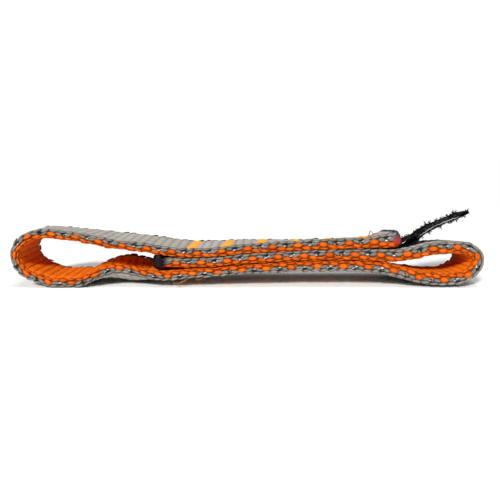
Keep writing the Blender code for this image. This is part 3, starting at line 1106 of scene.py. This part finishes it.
@dataclass
class Strap:
    """The whole strap, in two halves that each hold one loop."""

    route: StrapRoute
    tacks: TackPlan
    split_x: float = 0.0
    seal: float = 0.7 * MM  # left to the fused end at each cut
    large_flex_x: tuple[float, float] = (-31.0 * MM, -23.5 * MM)
    small_flex_x: tuple[float, float] = (40.5 * MM, 46.0 * MM)

    def build(self) -> None:
        """Make both halves, each as a woven body and its selvedges."""
        grey = WovenNylon("grey_woven_nylon", "37332f", "8c867f", "afa9a1", "57535f").material()
        orange = WovenNylon("orange_woven_nylon", "5a2400", "d26204", "f07e0c", "7c170b").material()
        # the selvedge copies of both yarns are darker than the face copies: painted shade on the edges
        knobs = WovenNylon("orange_selvedge_nylon", "2c0800", "993702", "bb5203", "7c170b").material()
        shaded_grey_edge = WovenNylon("grey_selvedge_nylon", "181512", "504b46", "75706a", "57535f").material()
        # pale painted glints on the grey selvedge yarn
        pale = WovenNylon("pale_painted_glint", "4a4641", "94908b", "bebab4", "57535f").material()
        weave = StrapWeave(self.route, self.tacks)
        selvedge = Selvedge(weave)
        split = self.route.at_x(Ply.BOTTOM, self.split_x)
        halves = {
            "inner": (self.seal, split, "small_loop", self.small_flex_x),
            "outer": (split, self.route.length - self.seal, "large_loop", self.large_flex_x[::-1]),
        }
        nodes = {
            "inner": ["middle_ply", "small_loop", "small_loop_flex_upper", "small_loop_flex_lower"],
            "outer": ["top_ply", "bottom_ply", "large_loop", "large_loop_flex_upper",
                      "large_loop_flex_lower"],
        }
        for number, (half, (start, end, loop, flex)) in enumerate(halves.items()):
            body = weave.stretch(start, end).build(f"strap_{half}_half_weave", [grey, orange])
            edges = MeshParts.join(
                [selvedge.edge(edge, start, end, 11 + number) for edge in Edge]
            ).build(f"strap_{half}_half_selvedge", [shaded_grey_edge, knobs, pale])
            for piece in (body, edges):
                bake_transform(piece)
            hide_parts(*nodes[half])


@dataclass
class Stitches:
    """Tubes that each follow a short path of its own, made in one go."""

    along_samples: int = 7
    sides: int = 6
    sample_mm: float = 0.35  # from one sample to the next in the yarn map
    radius_mm: float = 0.2  # what the yarn map takes a tube's radius to be

    def tubes(
        self, paths: np.ndarray, up: np.ndarray, radius: np.ndarray, tone: np.ndarray
    ) -> MeshParts:
        """Round tubes with closed, tapered ends.

        Each ring lies across its path: its two directions are the path's own direction crossed
        with up, and that crossed with the path again.

        Args:
            paths: (tubes, samples, 3) points.
            up: (tubes, samples, 3) directions, none along its path.
            radius: (tubes, samples) radii.
            tone: a shade for each tube.

        Returns:
            The arrays of the mesh.
        """
        count, samples, _ = paths.shape
        along = unit(np.gradient(paths, axis=1))
        side = unit(np.cross(along, up))
        lift = np.cross(side, along)
        angle = np.arange(self.sides) * 2 * math.pi / self.sides
        turn = angle[:, None]
        ring = np.cos(turn) * side[:, :, None] + np.sin(turn) * lift[:, :, None]
        points = (paths[:, :, None] + ring * radius[:, :, None, None]).reshape(count, -1, 3)
        points = np.concatenate([points, paths[:, [0, -1]]], axis=1)
        size = points.shape[1]
        # crown is high on each tube's side towards up and low below it: the thread's material paints it as
        # highlight and shade
        crown = np.append(np.tile(0.55 + 0.45 * np.sin(angle), samples), [0.3, 0.3])
        run = np.repeat(np.arange(samples) * self.sample_mm, self.sides)
        yarn = np.stack([run, np.tile(angle * self.radius_mm, samples)], axis=1)
        yarn = np.concatenate([yarn, np.zeros((2, 2))])
        return MeshParts(
            points=points.reshape(-1, 3),
            faces=[repeated(f[:, ::-1], count, size) for f in closed_rings(samples, self.sides)],
            values={"crown": np.tile(crown, count), "tone": tone.repeat(size)},
            yarn=np.tile(yarn, (count, 1)),
        )


@dataclass(frozen=True)
class LooseThread:
    """A thread tail that hangs out of a tack: its places from the strap's middle, in mm."""

    ply: Ply
    points: tuple[tuple[float, float, float], ...]


# tails by tack number: along x, across, and outwards from the ply's centreline
LOOSE_THREADS = {
    0: (
        LooseThread(Ply.BOTTOM, ((0.0, -8.2, 1.0), (-1.6, -8.9, 1.7), (-3.2, -9.3, 2.1), (-4.4, -9.4, 1.6))),
        LooseThread(Ply.BOTTOM, ((0.2, -8.0, 1.0), (-2.0, -8.3, 1.6), (-3.4, -9.0, 2.3), (-3.0, -9.6, 2.5))),
        LooseThread(Ply.BOTTOM, ((0.0, -7.6, 1.0), (1.2, -8.4, 1.5), (1.9, -9.2, 1.8), (3.2, -9.4, 1.5))),
    ),
    5: (
        LooseThread(Ply.TOP, ((0.0, -7.0, 1.0), (0.6, -7.4, 2.2), (0.9, -7.8, 2.9), (1.4, -8.0, 2.2))),
        LooseThread(Ply.TOP, ((0.2, -7.6, 1.0), (1.2, -7.9, 1.9), (2.0, -8.2, 2.2), (2.9, -8.3, 1.7))),
    ),
}


@dataclass
class BarTacks:
    """Six dense zig-zags of thread through the three plies, seen on the top and on the underside."""

    route: StrapRoute
    tacks: TackPlan
    thread: float = 0.21 * MM  # radius
    stitch_pitch: float = 0.36 * MM
    stitches: Stitches = field(default_factory=Stitches)

    def build(self) -> None:
        """Make one piece for each tack."""
        material = SewingThread().material()
        for number in range(len(TACK_X)):
            sides = [self.zigzag(ply, number, 100 + number) for ply in (Ply.TOP, Ply.BOTTOM)]
            if number in LOOSE_THREADS:
                sides.append(self.loose_threads(number, 200 + number))
            name = f"bar_tack_{number + 1}_stitches"
            piece = MeshParts.join(sides).build(name, [material])
            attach(piece, "sewn_core")
            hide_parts(f"bar_tack_{number + 1}")

    def loose_threads(self, number: int, seed: int) -> MeshParts:
        """The thread tails of one tack, each bent smoothly through its places.

        Args:
            number: which tack.
            seed: picks their shades.

        Returns:
            The arrays of the mesh.
        """
        rng = np.random.default_rng(seed)
        samples = self.stitches.along_samples * 2
        t = np.linspace(0, 1, samples)
        paths = []
        for thread in LOOSE_THREADS[number]:
            table = np.array(thread.points) * MM
            # a cubic through four evenly spaced places
            curve = np.stack([np.polyval(np.polyfit(np.linspace(0, 1, 4), table[:, axis], 3), t)
                              for axis in range(3)], axis=1)
            sign = 1.0 if thread.ply is Ply.TOP else -1.0
            s = self.tacks.centre(thread.ply, number, curve[:, 1]) + sign * curve[:, 0]
            paths.append(self.route.place(s, curve[:, 1], curve[:, 2]))
        paths = np.array(paths)
        up = np.broadcast_to([0.3, 0.9, 0.2], paths.shape)
        radius = 0.6 * self.thread * np.linspace(1.0, 0.6, samples)[None, :]
        tone = 1.0 + rng.normal(0, 0.05, len(paths))
        return self.stitches.tubes(paths, up, radius * np.ones((len(paths), 1)), tone)

    def zigzag(self, ply: Ply, number: int, seed: int) -> MeshParts:
        """The stitches of one tack on one face.

        A stitch runs from one side of the tack to the other. Its height is a low arch, 1 - a^6, so it
        lies flat over the weave and dives in at both ends, and alternate stitches lean the other way.

        Args:
            ply: the top or the bottom ply.
            number: which tack.
            seed: picks the small differences between stitches.

        Returns:
            The arrays of the mesh.
        """
        rng = np.random.default_rng(seed)
        count = int(self.tacks.length / self.stitch_pitch)
        middle = (np.arange(count) - (count - 1) / 2) * self.stitch_pitch
        middle = middle + rng.normal(0, 0.03 * MM, count)
        a = np.linspace(-1, 1, self.stitches.along_samples)[None, :]
        lean = np.where(np.arange(count) % 2, 1.0, -1.0)[:, None] * 0.45 * self.stitch_pitch
        across = middle[:, None] + lean * a
        uneven = rng.normal(0, 0.05, (count, 1)) + 0.16 * wobble(middle, 3.5 * MM, seed)[:, None]
        astray = 0.22 * MM * wobble(middle, 4.5 * MM, seed + 50)[:, None]
        s = self.tacks.centre(ply, number, across) + astray + self.tacks.width / 2 * (1 + uneven) * a
        arch = 1 - np.abs(a) ** 6
        bed = self.route.half_thickness(s) - self.tacks.press_depth
        high = 0.04 * MM + rng.normal(0, 0.03 * MM, (count, 1))
        out = bed - 0.45 * MM + (0.45 * MM + high) * arch
        paths = self.route.place(s, across, out)
        up = self.route.place(s, across, out + 1 * MM) - paths
        radius = self.thread * (1 - 0.25 * np.abs(a) ** 4) * np.ones((count, 1))
        tone = 1.0 + rng.normal(0, 0.06, count)
        return self.stitches.tubes(paths, up, radius, tone)


@dataclass
class SealedEnds:
    """The strap's two cut ends, fused by heat into a bead across its width."""

    route: StrapRoute
    around: int = 160
    rings: int = 14

    def build(self) -> None:
        """Make both beads."""
        # the inner bead is melted nylon, painted near black for the shade it lies in between the plies
        dark = MeltedNylon("melted_nylon_bead_painted_shade", "0b070c", "140405", 0.45, 0.12)
        warm = MeltedNylon("fused_nylon_bead", "34303d", "8c1e0c")
        inner = self.bead(0.0, -1.0, 1.5 * MM, 2.3 * MM, 2.9 * MM, 3, 0.3 * MM)
        outer = self.bead(self.route.length, 1.0, 1.45 * MM, 2.1 * MM, 1.0 * MM, 8, 0.24 * MM)
        for end, bead, finish in (("inner", inner, dark), ("outer", outer, warm)):
            piece = bead.build(f"{end}_sealed_end", [finish.material()])
            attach(piece, "sewn_core")
            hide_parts(f"{end}_end_seal")

    def bead(
        self, end: float, sign: float, reach: float, half_height: float, overhang: float, seed: int,
        raised: float,
    ) -> MeshParts:
        """A closed, lumpy bead over the strap's end.

        Seen from the side it is a half ellipse in front of the cut and fades into the strap behind
        it. Round the section it is a super-ellipse of power 6, with lumps up to a fifth of a
        millimetre high.

        Args:
            end: length along the strap of the cut.
            sign: -1 at the strap's start, 1 at its end.
            reach: how far the bead stretches over the strap.
            half_height: half of its height at the fattest.
            overhang: how far in front of the cut's own plane it is measured from.
            seed: picks the lumps.
            raised: how far its middle stands to the grey side of the strap's.

        Returns:
            The arrays of the mesh.
        """
        turn = np.linspace(0, math.pi, self.rings + 2)[1:-1][:, None]
        angle = (np.arange(self.around) * 2 * math.pi / self.around)[None, :]
        power = 2.0 / 6.0
        wide = np.sign(np.cos(angle)) * np.abs(np.cos(angle)) ** power
        high = np.sign(np.sin(angle)) * np.abs(np.sin(angle)) ** power
        half_width = self.route.width / 2 - 0.12 * MM
        lumps = 0.09 * MM * wobble(wide * half_width + 0.4 * turn * MM, 2.6 * MM, seed)
        lumps = lumps + 0.05 * MM * wobble(high * half_height + turn * MM, 1.3 * MM, seed + 1)
        plump = np.sin(turn) ** 0.7
        across = wide * (half_width + lumps) * (0.93 + 0.07 * plump)
        out = high * (half_height + lumps) * plump + raised
        s = end + sign * (overhang / 2 - reach) + sign * reach * (-np.cos(turn)) * 0.85
        s = s + sign * lumps * plump
        points = self.route.place(s, across, out)
        faces = closed_rings(self.rings, self.around)
        side = 0.5 + 0.5 * out / half_height
        return MeshParts(
            points=np.concatenate([points.reshape(-1, 3), points[[0, -1]].mean(axis=1)]),
            faces=[f if sign > 0 else f[:, ::-1] for f in faces],
            values={"side": np.append(side, [0.5, 0.5])},
        )


@dataclass
class LabelTape:
    """A narrow woven tape folded double at its tip, with frayed edges."""

    width: float = 12.0 * MM
    thickness: float = 0.36 * MM
    bank: float = math.radians(7.5)
    bead: float = 0.12 * MM
    samples_across: int = 41
    step: float = 0.25 * MM
    tufts: int = 150
    hairs_a_tuft: int = 5
    frayed_from_x: float = 40.0 * MM
    # pale strands along the edges between the two layers: a painted reflection
    yarns: int = 14
    reflection_samples: int = 24
    reflection_radius: float = 0.075 * MM
    reflection_from_x: float = 43.5 * MM
    flex_start: tuple[float, float, float] = (0.0392, 0, 0.0098)
    flex_end: tuple[float, float, float] = (0.0435, 0, 0.0130)
    stitches: Stitches = field(default_factory=lambda: Stitches(along_samples=6, sides=4))

    def __post_init__(self) -> None:
        """Work out the folded path: out along the upper layer, round the tip and back below.

        The layers lie a quarter of a millimetre either side of the middle, a little more past the
        strap's outer end, and swell apart where they leave the plies.
        """
        centre = catmull_rom(np.array(LABEL_ROUTE_MM) * MM)
        run = np.concatenate([[0], np.cumsum(np.linalg.norm(np.diff(centre, axis=0), axis=1))])
        s = np.arange(0, run[-1] - 0.3 * MM, self.step)
        x, z = np.interp(s, run, centre[:, 0]), np.interp(s, run, centre[:, 1])
        along = unit(np.stack([np.gradient(x), np.gradient(z)], axis=1))
        normal = np.stack([-along[:, 1], along[:, 0]], axis=1)
        swell = 0.5 * smoothstep(x, 38.5 * MM, 41.0 * MM) * (1 - smoothstep(x, 42.0 * MM, 46 * MM))
        spread = 0.22 + 0.1 * smoothstep(x, 40 * MM, 46 * MM) + swell
        spread = (spread + 0.06 * wobble(s, 9 * MM, 2))[:, None] * MM
        middle = np.stack([x, z], axis=1)
        turn = np.linspace(math.pi / 2, -math.pi / 2, 9)[1:-1, None]
        tip = middle[-1] + spread[-1] * (normal[-1] * np.sin(turn) + along[-1] * np.cos(turn))
        upper, lower = middle + normal * spread, (middle - normal * spread)[::-1]
        path = np.concatenate([upper, tip, lower])
        self.length = float(np.linalg.norm(np.diff(path, axis=0), axis=1).sum())
        self.path = np.stack([path[:, 0], np.zeros(len(path)), path[:, 1]], axis=1)
        self.along = unit(np.gradient(self.path, axis=0))
        self.across = np.array([0.0, math.cos(self.bank), -math.sin(self.bank)])
        self.normal = unit(np.cross(self.along, self.across))

    def build(self) -> None:
        """Make the tape and its frayed fibres."""
        tape = self.tape().build("label_tape", [LabelWeave().material()])
        fibre = PlainFibre("black_frayed_fibre", "101013", 0.45).material()
        fray = self.fray(21).build("label_fray", [fibre])
        # pale strands between the two layers: a painted reflection
        thread = PlainFibre("grey_painted_reflection", "8f8a84", 0.5).material()
        yarns = self.reflection_strand_tubes(23).build("label_painted_reflection", [thread])
        for piece in (tape, fray, yarns):
            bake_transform(piece)
        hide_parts("label_root", "label_flex", "label_flag")

    def edge_wave(self, edge: float) -> np.ndarray:
        """How far one edge strays from straight along the path, up to a tenth of a millimetre."""
        run = np.arange(len(self.path)) * self.step
        return 0.1 * MM * wobble(run, 4.0 * MM, 31 if edge < 0 else 37)

    def tape(self) -> MeshParts:
        """The tape as a closed sheet with a thicker bead along each edge.

        Its half thickness is that of the tape plus the bead's height times share to the power 24,
        where share is the place across over half of the width. Between its edges it ripples by a few
        hundredths of a millimetre.

        Returns:
            The arrays of the mesh.
        """
        share = np.sin(np.linspace(-1, 1, self.samples_across) * math.pi / 2)[None, :]
        waves = np.where(share < 0, self.edge_wave(-1.0)[:, None], self.edge_wave(1.0)[:, None])
        place = share * (self.width / 2 + waves * np.abs(share) ** 4)
        half = self.thickness / 2 + self.bead * np.abs(share) ** 24
        rounded = half * np.sqrt(np.clip(1 - np.abs(share) ** 60, 0.04, 1))
        run = (np.arange(len(self.path)) * self.step)[:, None]
        ripple = 0.04 * MM * wobble(run + 3 * place, 5.0 * MM, 6) * (1 - share**4)
        normal = self.normal[:, None, :]
        base = self.path[:, None, :] + place[..., None] * self.across + ripple[..., None] * normal
        upper, lower = base + rounded[..., None] * normal, base - rounded[..., None] * normal
        points = np.concatenate([upper, lower[:, ::-1]], axis=1)
        rows, columns, _ = points.shape
        # crown is highest on the edge beads, where the tape's material paints its grey highlight
        crown = np.clip(np.abs(share) ** 3 + 0.35, 0, 1)
        crown = np.broadcast_to(np.concatenate([crown, crown[:, ::-1]], axis=1), (rows, columns))
        girth = np.concatenate([place, place[:, ::-1]], axis=1)
        along = np.broadcast_to(run, (rows, columns))
        yarn = np.stack([along.ravel(), girth.ravel()], axis=1) / MM
        return MeshParts(
            points=np.concatenate([points.reshape(-1, 3), points[[0, -1]].mean(axis=1)]),
            faces=list(closed_rings(rows, columns)),
            values={"crown": np.append(crown, [0.0, 0.0])},
            yarn=np.concatenate([yarn, np.zeros((2, 2))]),
        )

    def reflection_strand_tubes(self, seed: int) -> MeshParts:
        """Pale strands that lie lengthwise between the two layers, along each edge: a painted reflection of
        the light between the layers.

        Each covers a stretch of the label of its own, wanders up and down by a tenth of a
        millimetre, and stands a little proud of the edge.

        Args:
            seed: picks their stretches.

        Returns:
            The arrays of the mesh.
        """
        rng = np.random.default_rng(seed)
        half = len(self.path) // 2
        upper, lower = self.path[:half], self.path[::-1][:half]
        middle = (upper + lower) / 2
        first = int(np.argmax(middle[:, 0] > self.reflection_from_x))
        count, samples = self.yarns, self.reflection_samples
        start = rng.uniform(first, half - 24, count)
        length = rng.uniform(14, 30, count)
        index = start[:, None] + length[:, None] * np.linspace(0, 1, samples)[None, :]
        index = np.clip(index, first, half - 5)
        row = np.arange(half)
        centre = np.stack([np.interp(index, row, middle[:, axis]) for axis in range(3)], axis=-1)
        edge = np.where(np.arange(count) % 2, 1.0, -1.0)[:, None, None]
        rise = 0.1 * MM * wobble(index, 9.0, seed)[..., None] * [0.0, 0.0, 1.0]
        rise = rise + rng.uniform(-0.12, 0.12, (count, 1, 1)) * MM * [0.0, 0.0, 1.0]
        paths = centre + edge * (self.width / 2 + 0.02 * MM) * self.across + rise
        radius = self.reflection_radius * np.sin(np.linspace(0.15, math.pi - 0.15, samples))[None, :]
        up = np.broadcast_to([0.0, 1.0, 0.0], paths.shape)
        return self.stitches.tubes(paths, up, radius * np.ones((count, 1)), np.ones(count))

    def fray(self, seed: int) -> MeshParts:
        """Tufts of short stiff fibres along both edges of both layers.

        Each tuft stands on an edge, in a direction drawn between straight out and up or down from
        the tape. Its fibres start side by side, lean a little apart and curl. Most are half a
        millimetre long, and a few are over one.

        Args:
            seed: picks them.

        Returns:
            The arrays of the mesh.
        """
        rng = np.random.default_rng(seed)
        visible = np.flatnonzero(self.path[:, 0] > self.frayed_from_x)
        hairs = self.tufts * self.hairs_a_tuft

        def each_hair(values: np.ndarray) -> np.ndarray:
            """A value of each tuft repeated for its fibres."""
            return np.repeat(values, self.hairs_a_tuft, axis=0)

        root = each_hair(rng.choice(visible, self.tufts))
        edge = each_hair(rng.choice([-1.0, 1.0], self.tufts))
        start = self.path[root] + (edge * self.width / 2)[:, None] * self.across
        outward = self.normal[root]
        slope = each_hair(rng.normal(0, 0.5, self.tufts))[:, None] * self.along[root]
        away = (edge * each_hair(rng.uniform(-0.1, 0.7, self.tufts)))[:, None] * self.across
        rise = each_hair(np.abs(rng.normal(0.8, 0.4, self.tufts)))[:, None] * outward
        first = unit(unit(rise + away + slope) + rng.normal(0, 0.22, (hairs, 3)))
        curl = unit(first + rng.normal(0, 0.4, (hairs, 3)))
        length = each_hair(np.clip(rng.lognormal(-0.42, 0.42, self.tufts), 0.3, 1.4))
        length = (length * rng.uniform(0.6, 1.1, hairs))[:, None, None] * MM
        start = start + rng.normal(0, 0.1 * MM, (hairs, 1)) * self.along[root]
        t = np.linspace(0, 1, self.stitches.along_samples)[None, :, None]
        start = start + outward * self.thickness / 4
        paths = start[:, None] + length * (first[:, None] * t + (curl - first)[:, None] * t * t * 0.5)
        up = np.broadcast_to(np.array([0.31, 0.87, 0.38]), paths.shape)
        taper = (1 - 0.6 * t[..., 0]) * rng.uniform(0.06, 0.11, hairs)[:, None] * MM
        tone = 1.0 + 0.1 * rng.normal(0, 1, hairs)
        return self.stitches.tubes(paths, up, taper, tone)


@dataclass
class Studio:
    """Floor, lights and camera."""

    distance: float = 182.0 * MM
    pitch: float = math.radians(7.5)
    aim: tuple[float, float, float] = (0.76 * MM, -10.0 * MM, 9.88 * MM)
    lens: float = 51.6
    floor_size: float = 40.0
    surround_light: float = 0.14  # what the surround gives the sling
    surround_seen: float = 1.05  # and how bright the camera sees it

    def build(self) -> None:
        """Set up the stage."""
        scene = bpy.context.scene
        scene.view_settings.view_transform = "Standard"
        self.floor()
        self.world(scene)
        self.light("key_light", 4.4, 9.0, (-0.3, -1.15, 0.6))
        self.light("top_light", 1.1, 30.0, (0.1, -0.35, 1.0))
        self.camera(scene)

    def floor(self) -> None:
        """A wide sheet of paper at the height where the sling stands."""
        half = self.floor_size / 2
        corners = [(-half, -half, 0), (half, -half, 0), (half, half, 0), (-half, half, 0)]
        mesh = bpy.data.meshes.new("floor")
        mesh.from_pydata(corners, [], [(0, 1, 2, 3)])
        mesh.materials.append(StudioPaper().material())
        floor = bpy.data.objects.new("floor", mesh)
        bpy.context.scene.collection.objects.link(floor)

    def world(self, scene: bpy.types.Scene) -> None:
        """A white surround that lights the sling far less than its brightness to the camera.

        Args:
            scene: whose world it becomes.
        """
        world = bpy.data.worlds.new("white_surround")
        world.use_nodes = True
        tree = world.node_tree
        tree.nodes.clear()
        seen = add_node(tree, "ShaderNodeLightPath").outputs["Is Camera Ray"]
        strength = add_node(
            tree, "ShaderNodeMapRange",
            {"Value": seen, "To Min": self.surround_light, "To Max": self.surround_seen},
        ).outputs["Result"]
        light = add_node(
            tree, "ShaderNodeBackground", {"Color": (1, 1, 1, 1), "Strength": strength}
        )
        add_node(tree, "ShaderNodeOutputWorld", {"Surface": light.outputs[0]})
        scene.world = world

    @staticmethod
    def light(name: str, power: float, softness: float, place: tuple[float, float, float]) -> None:
        """A wide, even light from far away.

        Args:
            name: its name.
            power: watts a square metre.
            softness: how wide it looks, in degrees.
            place: where it shines from.
        """
        lamp = bpy.data.lights.new(name, "SUN")
        lamp.energy = power
        lamp.angle = math.radians(softness)
        holder = bpy.data.objects.new(name, lamp)
        holder.location = place
        holder.rotation_euler = Vector(place).to_track_quat("Z", "Y").to_euler()
        bpy.context.scene.collection.objects.link(holder)

    def camera(self, scene: bpy.types.Scene) -> None:
        """A camera in front of the near edge, looking along +Y and a little down.

        Args:
            scene: whose camera it becomes.
        """
        lens = bpy.data.cameras.new("camera")
        lens.lens = self.lens
        lens.sensor_width = 36.0
        lens.clip_start = 0.01
        holder = bpy.data.objects.new("camera", lens)
        back = Vector((0, -math.cos(self.pitch), math.sin(self.pitch))) * self.distance
        turn = Matrix.Rotation(math.pi / 2 - self.pitch, 4, "X")
        holder.matrix_world = Matrix.Translation(Vector(self.aim) + back) @ turn
        scene.collection.objects.link(holder)
        scene.camera = holder


def main() -> None:
    """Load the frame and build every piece."""
    logging.basicConfig(level=logging.INFO, format="%(name)s: %(message)s")
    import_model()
    Studio().build()
    route = StrapRoute()
    LOG.info("strap length %.1f mm", route.length / MM)
    tacks = TackPlan(route)
    Strap(route, tacks).build()
    BarTacks(route, tacks).build()
    SealedEnds(route).build()
    LabelTape().build()
    bpy.context.view_layer.update()


if __name__ == "__main__":
    main()
